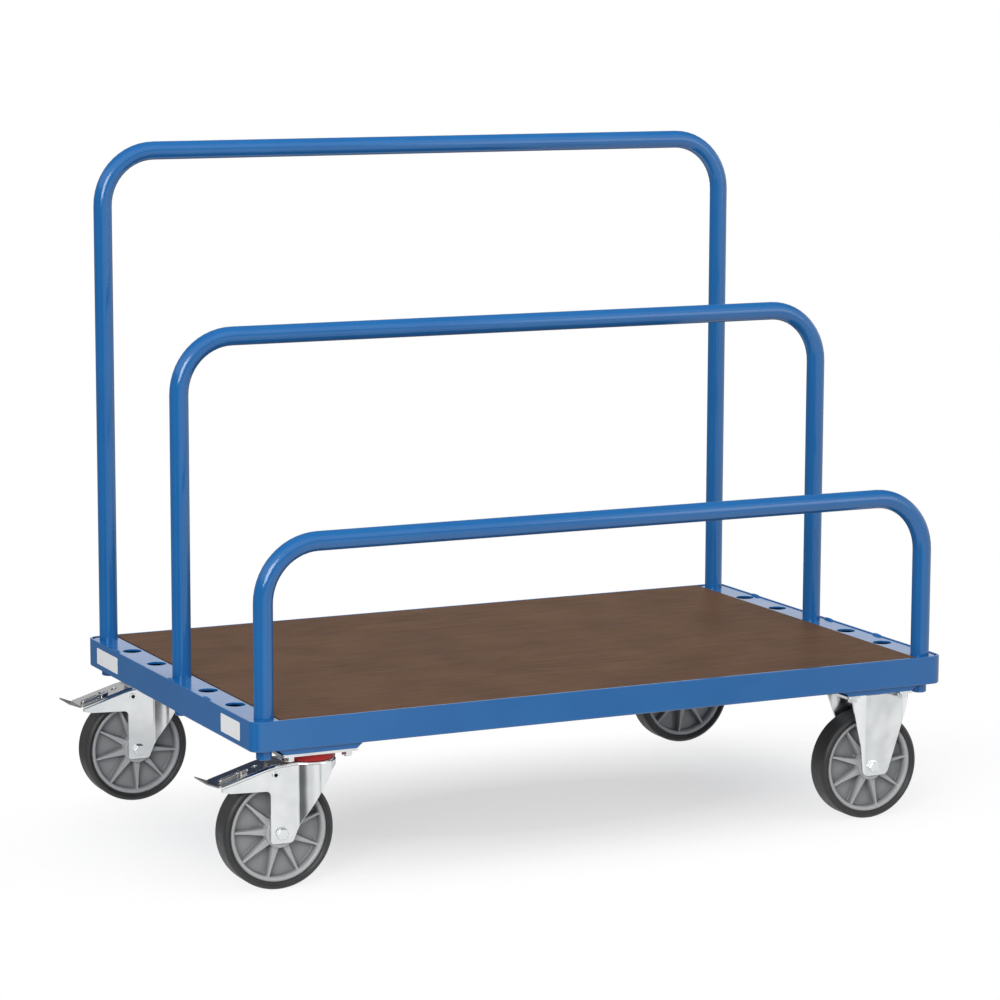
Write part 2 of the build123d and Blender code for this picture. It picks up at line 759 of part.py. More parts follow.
# Castors, set under the platform
swivel_pieces = {
    "swivel_plate": swivel_plate,
    "king_pin": king_pin,
    "swivel_fork": swivel_fork,
    "dust_seal": dust_seal,
    "swivel_bearing": swivel_bearing,
    "brake_pedal": brake_pedal,
    "brake_block": brake_block,
    "pedal_rivets": pedal_rivets,
}
axle_pieces = {"bolt": axle_bolt, "nut": axle_nut, "sleeve": axle_sleeve}
wheel_pieces = {"wheel_centre": wheel_centre, "tyre": tyre, "wheel_bearing": wheel_bearing}
for side, spot in swivel_spots.items():
    for name, piece in swivel_pieces.items():
        write(f"{side}_{name}", piece, spot)
    for name, piece in axle_pieces.items():
        write(f"{side}_swivel_axle_{name}", piece, at_axle(spot, trail))
    for name, piece in wheel_pieces.items():
        write(f"{side}_left_{name}", piece, at_axle(spot, trail), turn=-wheel_turns[f"{side}_left"])
for side, spot in fixed_spots.items():
    write(f"{side}_fixed_plate", fixed_plate, spot)
    write(f"{side}_fixed_fork", fixed_fork, spot)
    for name, piece in wheel_pieces.items():
        write(f"{side}_right_{name}", piece, at_axle(spot), turn=-wheel_turns[f"{side}_right"])
for name, piece in axle_pieces.items():
    write(f"fixed_axle_{name}s", piece, *[at_axle(spot) for spot in fixed_spots.values()])
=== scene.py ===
# %% [markdown]
# # A panel cart
# A flat steel platform rolls on two braked swivel castors and two fixed ones. Three loose tube hoops of
# rising height stand in sockets at its ends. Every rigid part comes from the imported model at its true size
# and place, and is never moved. This lesson gives those parts their finishes, remakes the four moulded
# wheels with finer surfaces than a plain solid has, and adds two blank labels and six small welds.

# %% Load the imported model
import json
import math

import bpy
import numpy as np
from mathutils import Matrix, Vector


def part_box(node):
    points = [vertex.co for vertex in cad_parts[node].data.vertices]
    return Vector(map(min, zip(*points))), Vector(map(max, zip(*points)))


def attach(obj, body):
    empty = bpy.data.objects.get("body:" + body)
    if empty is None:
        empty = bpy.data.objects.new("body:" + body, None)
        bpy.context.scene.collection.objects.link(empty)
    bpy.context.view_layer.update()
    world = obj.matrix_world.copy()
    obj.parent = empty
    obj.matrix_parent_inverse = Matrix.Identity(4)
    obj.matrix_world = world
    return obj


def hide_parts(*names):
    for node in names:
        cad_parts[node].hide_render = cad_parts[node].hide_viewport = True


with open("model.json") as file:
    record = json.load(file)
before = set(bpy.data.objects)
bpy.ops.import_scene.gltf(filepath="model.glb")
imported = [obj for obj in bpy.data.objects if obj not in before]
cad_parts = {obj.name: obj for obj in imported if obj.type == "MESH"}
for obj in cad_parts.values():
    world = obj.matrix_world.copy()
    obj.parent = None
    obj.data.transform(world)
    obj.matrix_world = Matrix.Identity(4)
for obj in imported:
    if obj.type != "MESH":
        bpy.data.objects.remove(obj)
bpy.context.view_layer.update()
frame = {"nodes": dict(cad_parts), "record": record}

nodes = frame["nodes"]
scene = bpy.context.scene

# %% [markdown]
# ## Camera
# A catalogue picture is taken from far away with a long lens, so that parallel edges stay nearly
# parallel. The camera could be aimed by hand, but a turn, a tilt and a small roll measured from the
# picture's own edges are steadier: the three axes of the camera follow from those angles and go into its
# matrix.

# %% Camera
CAMERA_PLACE = Vector((-2.7461, -5.6686, 1.5535))
CAMERA_TURN = math.radians(25.95)
CAMERA_TILT = math.radians(-8.804)
CAMERA_ROLL = math.radians(0.187)
LENS_MM = 124.91
SENSOR_MM = 36.0


def camera_axes(turn, tilt, roll):
    """Right, up and back axes of a camera that looks along +Y, turned towards +X, tilted up and rolled."""
    ahead = Vector((math.sin(turn) * math.cos(tilt), math.cos(turn) * math.cos(tilt), math.sin(tilt)))
    level = Vector((math.cos(turn), -math.sin(turn), 0.0))
    right = math.cos(roll) * level + math.sin(roll) * level.cross(ahead)
    return right, right.cross(ahead), -ahead


lens = bpy.data.cameras.new("camera")
lens.lens = LENS_MM
lens.sensor_width = SENSOR_MM
camera = bpy.data.objects.new("camera", lens)
axes = camera_axes(CAMERA_TURN, CAMERA_TILT, CAMERA_ROLL)
camera.matrix_world = Matrix.Translation(CAMERA_PLACE) @ Matrix(axes).transposed().to_4x4()
scene.collection.objects.link(camera)
scene.camera = camera
print("camera", round(CAMERA_PLACE.length, 2), "m from the middle of the floor")

# %% [markdown]
# ## Node helpers
# Each finish below is a small node tree. It could be clicked together in the editor, but a tree in code
# can be read and made again. Wiring in code is long, so a few helpers do it: one adds a node with its
# settings and inputs, one starts a material with its main shader, one feeds that shader, and the others
# make the patterns and blends that the finishes share. All patterns are in metres on Object coordinates,
# so a grain has the same size on every part.

# %% Nodes and materials


def add_node(tree, kind, inputs=(), **settings):
    """Add a node; inputs is a dict of socket to a value, or to another node's output."""
    node = tree.nodes.new("ShaderNode" + kind)
    for key, value in settings.items():
        setattr(node, key, value)
    for socket, value in dict(inputs).items():
        if isinstance(value, bpy.types.NodeSocket):
            tree.links.new(value, node.inputs[socket])
        else:
            node.inputs[socket].default_value = value
    return node


def start_finish(name, **values):
    """A material with a Principled shader; values set its sockets by name, as constants."""
    material = bpy.data.materials.new(name)
    material.use_nodes = True
    tree = material.node_tree
    shader = tree.nodes["Principled BSDF"]
    for socket, value in values.items():
        shader.inputs[socket.replace("_", " ")].default_value = value
    return material, tree, shader


def feed(tree, shader, **outputs):
    """Link nodes' outputs to the shader's sockets, by the names of the sockets."""
    for socket, output in outputs.items():
        tree.links.new(output, shader.inputs[socket.replace("_", " ")])


print("helpers for nodes and materials ready")

# %% Values and vectors
# Where most of a noise pattern's values lie
NOISE_LOW = 0.3
NOISE_HIGH = 0.7


def ramp(tree, value, low, high, from_low=NOISE_LOW, from_high=NOISE_HIGH):
    """Carry a value from one range to another, held at both ends; the first is noise's unless given."""
    inputs = {"Value": value, "From Min": from_low, "From Max": from_high, "To Min": low, "To Max": high}
    return add_node(tree, "MapRange", inputs).outputs["Result"]


def inverse(tree, value):
    """1 where the value is 0, and 0 where it is 1."""
    return ramp(tree, value, 1.0, 0.0, 0.0, 1.0)


def combined(tree, operation, *values):
    """Join values one after the other by a Math node's operation, such as MULTIPLY or MAXIMUM."""
    result = values[0]
    for value in values[1:]:
        result = add_node(tree, "Math", {0: result, 1: value}, operation=operation).outputs[0]
    return result


def vector(tree, operation, *values):
    """What a Vector Math node makes of one or two vectors."""
    return add_node(tree, "VectorMath", dict(enumerate(values)), operation=operation).outputs["Vector"]


def closeness(tree, first, second):
    """Dot product: 1 where two directions agree, 0 where they stand square to each other."""
    return add_node(tree, "VectorMath", {0: first, 1: second}, operation="DOT_PRODUCT").outputs["Value"]


print("helpers for values and vectors ready")

# %% Patterns, colours and edges
# A Mix node has sockets for each kind of data; these are the ones for colours
COLOUR_A = 6
COLOUR_B = 7
COLOUR_OUT = 2
EDGE_SAMPLES = 6
# How closely the rounded normal follows the flat one where an edge is full, and where there is none
EDGE_FULL = 0.80
EDGE_NONE = 0.99


def noise(tree, size, detail=2.0, stretch=(1.0, 1.0, 1.0)):
    """Noise whose spots are about size metres across, stretched along the axes; its output is 0 to 1."""
    place = add_node(tree, "TexCoord").outputs["Object"]
    scale = tuple(1.0 / (size * s) for s in stretch)
    mapping = add_node(tree, "Mapping", {"Vector": place, "Scale": scale}).outputs["Vector"]
    texture = add_node(tree, "TexNoise", {"Vector": mapping, "Scale": 1.0, "Detail": detail})
    return texture.outputs["Fac"]


def blend_colours(tree, factor, first, second):
    """Mix two colours; each is a colour or another node's output."""
    node = add_node(tree, "Mix", {0: factor}, data_type="RGBA")
    for socket, value in ((COLOUR_A, first), (COLOUR_B, second)):
        if isinstance(value, bpy.types.NodeSocket):
            tree.links.new(value, node.inputs[socket])
        else:
            node.inputs[socket].default_value = (*value, 1.0)
    return node.outputs[COLOUR_OUT]


def clouds(tree, size, first, second, detail=2.0):
    """Two colours that run into each other in clouds about size metres across."""
    return blend_colours(tree, ramp(tree, noise(tree, size, detail), 0.0, 1.0), first, second)


def soft_edges(tree, radius):
    """Normals rounded over the piece's edges, and a 0 to 1 mask of those edges."""
    rounded = add_node(tree, "Bevel", {"Radius": radius}, samples=EDGE_SAMPLES).outputs["Normal"]
    flat = add_node(tree, "NewGeometry").outputs["Normal"]
    return rounded, ramp(tree, closeness(tree, rounded, flat), 1.0, 0.0, EDGE_FULL, EDGE_NONE)


def bump(tree, height, depth, normal=None):
    """Bend the normals by a height of 0 to 1 that stands for depth metres."""
    inputs = {"Height": height, "Distance": depth, "Strength": 1.0}
    if normal is not None:
        inputs["Normal"] = normal
    return add_node(tree, "Bump", inputs).outputs["Normal"]


print("helpers for patterns, colours and edges ready")

# %% [markdown]
# ## Floor
# The cart stands on pale paper. A studio's paper curves up behind the object, but a flat sheet that fades
# into a white world shows no horizon either, from any side. The sheet is diffuse and catches the shadow.
# What the eye sees of it is a little over half its own glow, as on a lit table, so the shadow stays pale.
# For the eye the fade starts nearer to the cart than it does for light and gloss.

# %% Floor paper
# Each fade: its middle, its reach along the axes, and the shares of the reach where it starts and is done
LIGHT_FADE = ((0.0, 0.0, 0.0), (0.80, 0.58, 1.0), 0.80, 1.5)
EYE_FADE = ((0.08, -0.03, 0.0), (0.80, 0.29, 1.0), 0.51, 1.78)
FLOOR_TO_LIGHT = 0.72
FLOOR_SEEN = 1.0
FLOOR_GLOW = 0.58
# A Mix node's sockets for plain values
VALUE_A = 2
VALUE_B = 3


def seen_directly(tree):
    """1 for rays from the camera, from gloss and through glass, 0 for the rays that only carry light."""
    path = add_node(tree, "LightPath").outputs
    kinds = ("Is Camera Ray", "Is Glossy Ray", "Is Transmission Ray")
    return combined(tree, "MAXIMUM", *(path[kind] for kind in kinds))


def fade_out(tree, middle, reach, start, done):
    """0 near the middle, 1 far out: the length of (place - middle) / reach, carried from start to done."""
    place = add_node(tree, "TexCoord").outputs["Object"]
    spread = vector(tree, "DIVIDE", vector(tree, "SUBTRACT", place, middle), reach)
    distance = add_node(tree, "VectorMath", {0: spread}, operation="LENGTH").outputs["Value"]
    return ramp(tree, distance, 0.0, 1.0, start, done)


sweep_paper, tree, shader = start_finish("sweep_paper", Roughness=1.0, Specular_IOR_Level=0.0)
direct = seen_directly(tree)
feed(tree, shader, Base_Color=blend_colours(tree, direct, (FLOOR_TO_LIGHT,) * 3, (FLOOR_SEEN,) * 3))
glow = add_node(tree, "Emission", {"Color": (1.0, 1.0, 1.0, 1.0), "Strength": 1.0}).outputs[0]
share = combined(tree, "MULTIPLY", direct, FLOOR_GLOW)
lit = add_node(tree, "MixShader", {0: share, 1: shader.outputs[0], 2: glow}).outputs[0]
to_eye = add_node(tree, "LightPath").outputs["Is Camera Ray"]
fades = {0: to_eye, VALUE_A: fade_out(tree, *LIGHT_FADE), VALUE_B: fade_out(tree, *EYE_FADE)}
gone = add_node(tree, "Mix", fades).outputs[0]
clear = add_node(tree, "BsdfTransparent").outputs[0]
faded = add_node(tree, "MixShader", {0: gone, 1: lit, 2: clear}).outputs[0]
tree.links.new(faded, tree.nodes["Material Output"].inputs["Surface"])
print("shadow fades out", round(EYE_FADE[3] * EYE_FADE[1][0], 2), "m from its middle, along the cart")

# %% Floor sheet
FLOOR_HALF = 9.0
CORNER_SIGNS = np.array([(-1, -1, 0), (1, -1, 0), (1, 1, 0), (-1, 1, 0)])

floor_mesh = bpy.data.meshes.new("floor")
floor_mesh.from_pydata((FLOOR_HALF * CORNER_SIGNS).tolist(), [], [(0, 1, 2, 3)])
floor_mesh.materials.append(sweep_paper)
floor = bpy.data.objects.new("floor", floor_mesh)
scene.collection.objects.link(floor)
print("floor", 2 * FLOOR_HALF, "m square")

# %% [markdown]
# ## World
# The eye sees a plain white world. Bright plating only looks like metal when it has something dark to
# mirror, so to gloss the world is white with some dark sides, where a studio has its open room. A picture
# of a studio could be wrapped round the scene, but dark sides can be moved one by one. The rays that only
# carry light find a soft white that gets dimmer towards the right.

# %% World
WHITE = (1.0, 1.0, 1.0)
BLACK = (0.0, 0.0, 0.0)
AMBIENT = 0.54
# Each dark side: the way it lies, the closeness where it starts and is full, the heights between which it
# shows, and how much light it swallows
DARK_SIDES = [
    ((-0.74, -0.67, 0.0), (0.88, 0.955), (-1.0, 0.30), 0.88),
    ((-0.95, 0.20, 0.0), (0.60, 0.90), (-1.0, 0.30), 0.85),
    ((-0.25, -0.97, 0.0), (0.92, 0.98), (-1.0, 0.30), 0.25),
    ((-0.30, -0.95, 0.0), (0.30, 0.60), (0.06, 0.20), 0.80),
    ((-0.50, 0.866, 0.0), (0.72, 0.95), (-1.0, 0.35), 0.64),
    ((0.40, 0.91, -0.2), (0.60, 0.92), (-1.0, -0.02), 0.88),
    ((0.461, -0.864, -0.2), (0.9955, 0.9985), (-1.0, 0.10), 0.50),
    ((0.20, 0.45, 0.87), (0.40, 0.75), (0.33, 1.0), 0.85),
]
DARK_SOFTNESS = 0.10
# The way towards which the soft light gets dimmer, how much of it is lost, and the closeness where that
# starts and is full
DIM_TOWARDS = (0.93, 0.36, 0.0)
DIM_SHARE = 0.60
DIM_START = -0.4
DIM_FULL = 0.9

world = bpy.data.worlds.new("studio")
scene.world = world
world.use_nodes = True
tree = world.node_tree
towards = add_node(tree, "TexCoord").outputs["Generated"]
height = add_node(tree, "SeparateXYZ", {0: towards}).outputs["Z"]
room = WHITE
for way, (start, full), (low, high), share in DARK_SIDES:
    facing = ramp(tree, closeness(tree, towards, way), 0.0, share, start, full)
    above = ramp(tree, height, 0.0, 1.0, low - DARK_SOFTNESS, low)
    below = ramp(tree, height, 1.0, 0.0, high, high + DARK_SOFTNESS)
    room = blend_colours(tree, combined(tree, "MULTIPLY", facing, above, below), room, BLACK)
gloss = add_node(tree, "LightPath").outputs["Is Glossy Ray"]
room = blend_colours(tree, gloss, WHITE, room)
dimmed = ramp(tree, closeness(tree, towards, DIM_TOWARDS), 0.0, DIM_SHARE, DIM_START, DIM_FULL)
soft_light = blend_colours(tree, dimmed, (AMBIENT,) * 3, BLACK)
feed(tree, tree.nodes["Background"], Color=blend_colours(tree, seen_directly(tree), soft_light, room))
print("ambient light", AMBIENT, "dark sides", len(DARK_SIDES))

# %% [markdown]
# ## Lamps
# A product is lit by large soft boxes. Points or a sun would give hard shadows, so each lamp here is a
# wide square: one above, one behind and two in front, of which the left one is the main light. Together
# they light the cart at a plain level. The two in front also show in gloss, as bright panels.

# %% Lamps
# Each lamp: its place, what it aims at, its size, its power, and whether gloss shows it
LAMPS = {
    "overhead": ((0.3, -0.3, 3.8), (0.0, 0.0, 0.3), 3.4, 66.0, False),
    "front_left": ((-3.6, -4.2, 2.6), (0.0, 0.0, 0.4), 2.4, 150.0, True),
    "right_fill": ((3.6, -4.6, 2.0), (0.2, 0.0, 0.4), 2.4, 32.0, True),
    "back_fill": ((2.4, 5.2, 2.2), (0.0, 0.0, 0.4), 2.4, 50.0, False),
}
for name, (spot, target, size, power, in_gloss) in LAMPS.items():
    lamp = bpy.data.lights.new(name, "AREA")
    lamp.shape = "SQUARE"
    lamp.size = size
    lamp.energy = power
    holder = bpy.data.objects.new(name, lamp)
    holder.location = spot
    holder.visible_camera = False
    holder.visible_glossy = in_gloss
    holder.rotation_euler = (Vector(target) - Vector(spot)).to_track_quat("-Z", "Y").to_euler()
    scene.collection.objects.link(holder)
print("lamps:", ", ".join(LAMPS))

# %% [markdown]
# ## Blue powder coat
# The rim, the channels, the bearers and the hoops are steel under a satin blue powder coat. A powder coat
# flows as it bakes, so it has a faint orange peel, it is a touch thinner along edges, and its gloss wanders
# slowly over a face. Its edges are painted paler, partly for the thinner coat and partly as a painted
# highlight. A plain blue shader would look like plastic, so each of those is a small pattern.

# %% Blue powder coat
PAINT = (0.0105, 0.139, 0.402)
PAINT_DEEP = (0.0090, 0.126, 0.378)
# The paler edge colour stands for thinner coat and is partly a painted highlight
PAINT_EDGE = (0.030, 0.200, 0.500)
PAINT_THIN_AND_HIGHLIGHT = 0.5
PAINT_IOR = 1.56
PAINT_CLOUDS = 0.12
PAINT_GLOSS_SPOTS = 0.05
PAINT_ROUGHNESS = (0.12, 0.17)
PEEL_SIZE = 0.0022
PEEL_DEPTH = 0.000006
SHEET_EDGE = 0.0012


def powder_coat():
    """Slow clouds of colour and gloss, paler edges, partly a painted highlight, and an orange peel of about
    2 mm.
    """
    material, tree, shader = start_finish("blue_powder_coat", Metallic=0.0, IOR=PAINT_IOR)
    normal, edge = soft_edges(tree, SHEET_EDGE)
    body = clouds(tree, PAINT_CLOUDS, PAINT, PAINT_DEEP, detail=3.0)
    # Edges paler where the coat is thin, which is partly a painted highlight
    thin_and_highlight = combined(tree, "MULTIPLY", edge, PAINT_THIN_AND_HIGHLIGHT)
    peel = noise(tree, PEEL_SIZE, detail=1.0)
    feed(tree, shader, Base_Color=blend_colours(tree, thin_and_highlight, body, PAINT_EDGE),
         Roughness=ramp(tree, noise(tree, PAINT_GLOSS_SPOTS), *PAINT_ROUGHNESS),
         Normal=bump(tree, peel, PEEL_DEPTH, normal))
    return material


finishes = {"blue_paint": powder_coat()}
print("blue powder coat ready")

# %% [markdown]
# ## Film-faced deck
# The deck is birch plywood pressed under a brown resin film. The film is smooth, but the veneer under it
# telegraphs through as long faint streaks, and use leaves fine scuffs that catch the light. A photograph
# of a board could be used, but it would repeat. Here streaks are noise stretched along the board, and
# scuffs are a second stretched noise that only reaches the roughness.

# %% Film-faced deck
FILM = (0.137, 0.074, 0.041)
FILM_DARK = (0.103, 0.0545, 0.031)
FILM_TONES = (0.15, 0.38)
FILM_SHINE = 0.03
FILM_CLOUDS = 0.15
FILM_ROUGHNESS = (0.42, 0.60)
STREAK_SIZE = 0.006
STREAK_STRETCH = (40.0, 1.0, 1.0)
STREAK_DEPTH = 0.00006
SCUFF_SIZE = 0.003
SCUFF_STRETCH = (14.0, 1.0, 1.0)


def deck_film():
    """Streaks times clouds in two browns, the streaks raised a little, and scuffs in the gloss."""
    material, tree, shader = start_finish("deck_film", Metallic=0.0, Specular_IOR_Level=FILM_SHINE)
    streaks = noise(tree, STREAK_SIZE, detail=4.0, stretch=STREAK_STRETCH)
    mixed = combined(tree, "MULTIPLY", streaks, noise(tree, FILM_CLOUDS))
    tones = ramp(tree, mixed, 0.0, 1.0, *FILM_TONES)
    scuffs = noise(tree, SCUFF_SIZE, detail=3.0, stretch=SCUFF_STRETCH)
    normal, _ = soft_edges(tree, SHEET_EDGE)
    feed(tree, shader, Base_Color=blend_colours(tree, tones, FILM, FILM_DARK),
         Roughness=ramp(tree, scuffs, *FILM_ROUGHNESS),
         Normal=bump(tree, streaks, STREAK_DEPTH, normal))
    return material


finishes["deck_film"] = deck_film()
print("deck film ready")

# %% [markdown]
# ## Zinc and bearing steel
# Forks, plates, bolts and nuts are bright zinc: a metal with wide soft clouds from the bath and fine
# streaks from rolling. Pins and races are ground steel. Each could have its own tree, but one function
# makes both, because they only differ in colour, gloss and the depth of their marks.

# %% Plated metals
PLATING_CLOUDS = 0.045
PLATING_EDGE = 0.0009
WAVE_SIZE = 0.055
WAVE_DEPTH = 0.0009
MARK_SIZE = 0.0012
MARK_STRETCH = (10.0, 1.0, 1.0)


def plated(name, colour, dull_colour, edge_highlight_colour, roughness, mark_depth):
    """A metal whose colour wanders in wide clouds, with the slow waves of pressed sheet, fine marks along X
    that change the gloss too, and brighter edges as a painted highlight."""
    material, tree, shader = start_finish(name, Metallic=1.0)
    body = clouds(tree, PLATING_CLOUDS, colour, dull_colour)
    normal, edge = soft_edges(tree, PLATING_EDGE)
    waves = bump(tree, noise(tree, WAVE_SIZE, detail=1.0), WAVE_DEPTH, normal)
    marks = noise(tree, MARK_SIZE, stretch=MARK_STRETCH)
    # The brighter colour on edges is a painted highlight
    feed(tree, shader, Base_Color=blend_colours(tree, edge, body, edge_highlight_colour),
         Roughness=ramp(tree, marks, *roughness), Normal=bump(tree, marks, mark_depth, waves))
    return material


finishes["zinc"] = plated(
    "bright_zinc", colour=(0.83, 0.845, 0.85), dull_colour=(0.73, 0.755, 0.765),
    edge_highlight_colour=(0.88, 0.885, 0.89), roughness=(0.12, 0.19), mark_depth=0.000004)
finishes["bearing_steel"] = plated(
    "ground_steel", colour=(0.60, 0.60, 0.61), dull_colour=(0.52, 0.52, 0.53),
    edge_highlight_colour=(0.66, 0.66, 0.67), roughness=(0.20, 0.30), mark_depth=0.000006)
print("zinc and ground steel ready")

# %% [markdown]
# ## Smoked pedals
# The pedals are smoked on top, a dark that is partly a painted reflection, rubbed bright on every bend
# and lip, and dark on the cut ends at the toe.
# Each zone could be a material of its own on chosen faces, but then its border would be hard. So one
# finish looks at which way each face points on the pedal itself, not in the world, and blends from zone
# to zone.

# %% Smoked pedals
# The smoked tones of the top are partly a painted dark reflection
PEDAL_SMOKED_DARK_REFLECTION = (0.026, 0.025, 0.023)
PEDAL_WORN = (0.020, 0.019, 0.018)
PEDAL_BRIGHT = (0.88, 0.88, 0.875)
PEDAL_CUT = (0.030, 0.030, 0.031)
PEDAL_IOR = 3.0
PEDAL_CLOUDS = 0.02
PEDAL_GLOSS_SPOTS = 0.004
PEDAL_ROUGHNESS = (0.08, 0.14)
# How far a face looks up where smoke starts and is full, and sideways where a cut end does
PEDAL_TOP = (0.90, 0.94)
PEDAL_END = (0.70, 0.90)
# Only cut ends on the toe's side of this place along X are dark, after a short blend
PEDAL_TOE = -0.690
PEDAL_TOE_BLEND = 0.002
# How far the smoked top's normals lean towards the heel, so that it mirrors the dark room
PEDAL_LEAN = (0.35, 0.0, 0.0)


def pedal_plating():
    """Smoked on faces that look up, partly a painted dark reflection; bright bends, lips, edges; dark toe
    cut ends.
    """
    material, tree, shader = start_finish("pedal_plating", IOR=PEDAL_IOR)
    place = add_node(tree, "TexCoord").outputs
    facing = add_node(tree, "SeparateXYZ", {0: place["Normal"]}).outputs
    along = add_node(tree, "SeparateXYZ", {0: place["Object"]}).outputs["X"]
    sideways = add_node(tree, "Math", {0: facing["Y"]}, operation="ABSOLUTE").outputs[0]
    normal, edge = soft_edges(tree, PLATING_EDGE)
    upward = ramp(tree, facing["Z"], 0.0, 1.0, *PEDAL_TOP)
    top = combined(tree, "MULTIPLY", upward, inverse(tree, edge))
    toe = ramp(tree, along, 1.0, 0.0, PEDAL_TOE - PEDAL_TOE_BLEND, PEDAL_TOE)
    cut_end = combined(tree, "MULTIPLY", ramp(tree, sideways, 0.0, 1.0, *PEDAL_END), toe)
    body = blend_colours(tree, top, PEDAL_BRIGHT, clouds(tree, PEDAL_CLOUDS, PEDAL_SMOKED_DARK_REFLECTION, PEDAL_WORN))
    lean = add_node(tree, "VectorTransform", {0: PEDAL_LEAN}, vector_type="VECTOR",
                    convert_from="OBJECT", convert_to="WORLD").outputs[0]
    on_top = add_node(tree, "VectorMath", {0: lean, "Scale": top}, operation="SCALE").outputs["Vector"]
    feed(tree, shader, Base_Color=blend_colours(tree, cut_end, body, PEDAL_CUT),
         Metallic=inverse(tree, combined(tree, "MAXIMUM", top, cut_end)),
         Roughness=ramp(tree, noise(tree, PEDAL_GLOSS_SPOTS), *PEDAL_ROUGHNESS),
         Normal=vector(tree, "NORMALIZE", vector(tree, "ADD", normal, on_top)))
    return material


finishes["pedal_chrome"] = pedal_plating()
print("pedal plating ready")

# %% [markdown]
# ## Moulded rubbers and plastics
# Tyres, brake blocks, dust seals and wheel centres come out of moulds. A moulded skin has a fine even
# grain, takes on dust, and is a little shinier where the mould was polished. One function covers all
# four: two tones, a grain size and a range of gloss. A piece may also carry two values on its points, each
# 0 to 1: one brings in a darker tone as painted shade in corners, the other a paler tone as painted light on
# faces that stand proud.

# %% Moulded skins
SKIN_CLOUDS = 0.03
SKIN_GLOSS_SPOTS = 0.012
SKIN_EDGE = 0.0006


def moulded(name, colour, worn_colour, grain, depth, roughness, shine,
            shade_colour=None, highlight_colour=None):
    """Two tones in slow clouds, painted shade in hollows and light on proud faces, wandering gloss, even
    grain.
    """
    material, tree, shader = start_finish(name, Metallic=0.0, Specular_IOR_Level=shine)
    body = clouds(tree, SKIN_CLOUDS, colour, worn_colour, detail=3.0)
    # Painted shade near walls and painted light on proud faces, read from two values on the points
    for value, tone in (("painted_shade", shade_colour), ("raised", highlight_colour)):
        if tone:
            amount = add_node(tree, "Attribute", attribute_name=value).outputs["Fac"]
            body = blend_colours(tree, amount, body, tone)
    normal, _ = soft_edges(tree, SKIN_EDGE)
    feed(tree, shader, Base_Color=body,
         Roughness=ramp(tree, noise(tree, SKIN_GLOSS_SPOTS), *roughness),
         Normal=bump(tree, noise(tree, grain), depth, normal))
    return material


finishes["tyre_rubber"] = moulded(
    "tyre_rubber", colour=(0.033, 0.033, 0.034), worn_colour=(0.042, 0.042, 0.042),
    grain=0.0010, depth=0.00004, roughness=(0.40, 0.52), shine=0.40)
# The grey centres' darker tone is painted shade, and their paler tone is painted light
finishes["wheel_grey"] = moulded(
    "grey_plastic", colour=(0.300, 0.309, 0.315), worn_colour=(0.278, 0.287, 0.293),
    grain=0.0012, depth=0.00002, roughness=(0.28, 0.38), shine=0.5,
    shade_colour=(0.200, 0.206, 0.211), highlight_colour=(0.440, 0.451, 0.458))
finishes["seal_red"] = moulded(
    "red_seal", colour=(0.430, 0.012, 0.011), worn_colour=(0.360, 0.010, 0.010),
    grain=0.0010, depth=0.00002, roughness=(0.32, 0.42), shine=0.35)
finishes["brake_rubber"] = moulded(
    "brake_rubber", colour=(0.020, 0.020, 0.020), worn_colour=(0.030, 0.030, 0.030),
    grain=0.0010, depth=0.00008, roughness=(0.60, 0.75), shine=0.3)
print("finishes:", ", ".join(finishes))

# %% [markdown]
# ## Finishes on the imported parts
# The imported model's record says which finish each part has. Parts could be painted one by one, but
# following the record in a loop misses none.

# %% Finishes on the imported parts
for part in frame["record"]["subparts"]:
    nodes[part["node"]].material_slots[0].material = finishes[part["material_slot"]]

# %% [markdown]
# ## Surfaces on a grid
# New pieces are grids of points: a section of rows carried along columns, all worked out at once as
# arrays. They could be pushed and pulled by hand, but a grid stays exact. Outlines are given by their
# corners and a radius at each one. A helper rounds them with true arcs, another joins a grid into quads,
# one closes a stack of rings with a fan at each end, and one turns all faces outwards by the sign of the
# volume.

# %% Outlines
MM = 0.001
# Points that lie closer together than this share of a step are thinned out
CLOSEST = 0.15


def rounded_outline(corners, radii, steps):
    """Points along a line of corners, each inner corner replaced by an arc that touches both its runs."""
    corners = np.asarray(corners, float)
    points = [corners[:1]]
    for before, corner, after, radius in zip(corners, corners[1:], corners[2:], radii):
        start = (before - corner) / np.linalg.norm(before - corner)
        end = (after - corner) / np.linalg.norm(after - corner)
        half = 0.5 * np.arccos(np.clip(start @ end, -1.0, 1.0))
        middle = corner + (start + end) / np.linalg.norm(start + end) * radius / np.sin(half)
        first = corner + start * radius / np.tan(half) - middle
        last = corner + end * radius / np.tan(half) - middle
        sweep = np.pi - 2.0 * half
        t = np.linspace(0.0, 1.0, steps)[:, None]
        arc = (np.sin((1.0 - t) * sweep) * first + np.sin(t * sweep) * last) / np.sin(sweep)
        points.append(middle + arc)
    return np.vstack(points + [corners[-1:]])


def divided(points, step):
    """The same line with points added about every step, and without points that nearly fall together."""
    run = np.concatenate([[0.0], np.cumsum(np.linalg.norm(np.diff(points, axis=0), axis=1))])
    extra = np.linspace(0.0, run[-1], int(run[-1] / step) + 1)
    places = np.unique(np.round(np.concatenate([run, extra]), 6))
    places = places[np.concatenate([[True], np.diff(places) > CLOSEST * step])]
    return np.stack([np.interp(places, run, column) for column in points.T], axis=1)


def mirrored_loop(half):
    """A closed section from its half with y >= 0, whose two ends lie on y = 0."""
    return np.vstack([half, half[-2:0:-1] * (1.0, -1.0)])


print("helpers for outlines ready")

# %% Grids


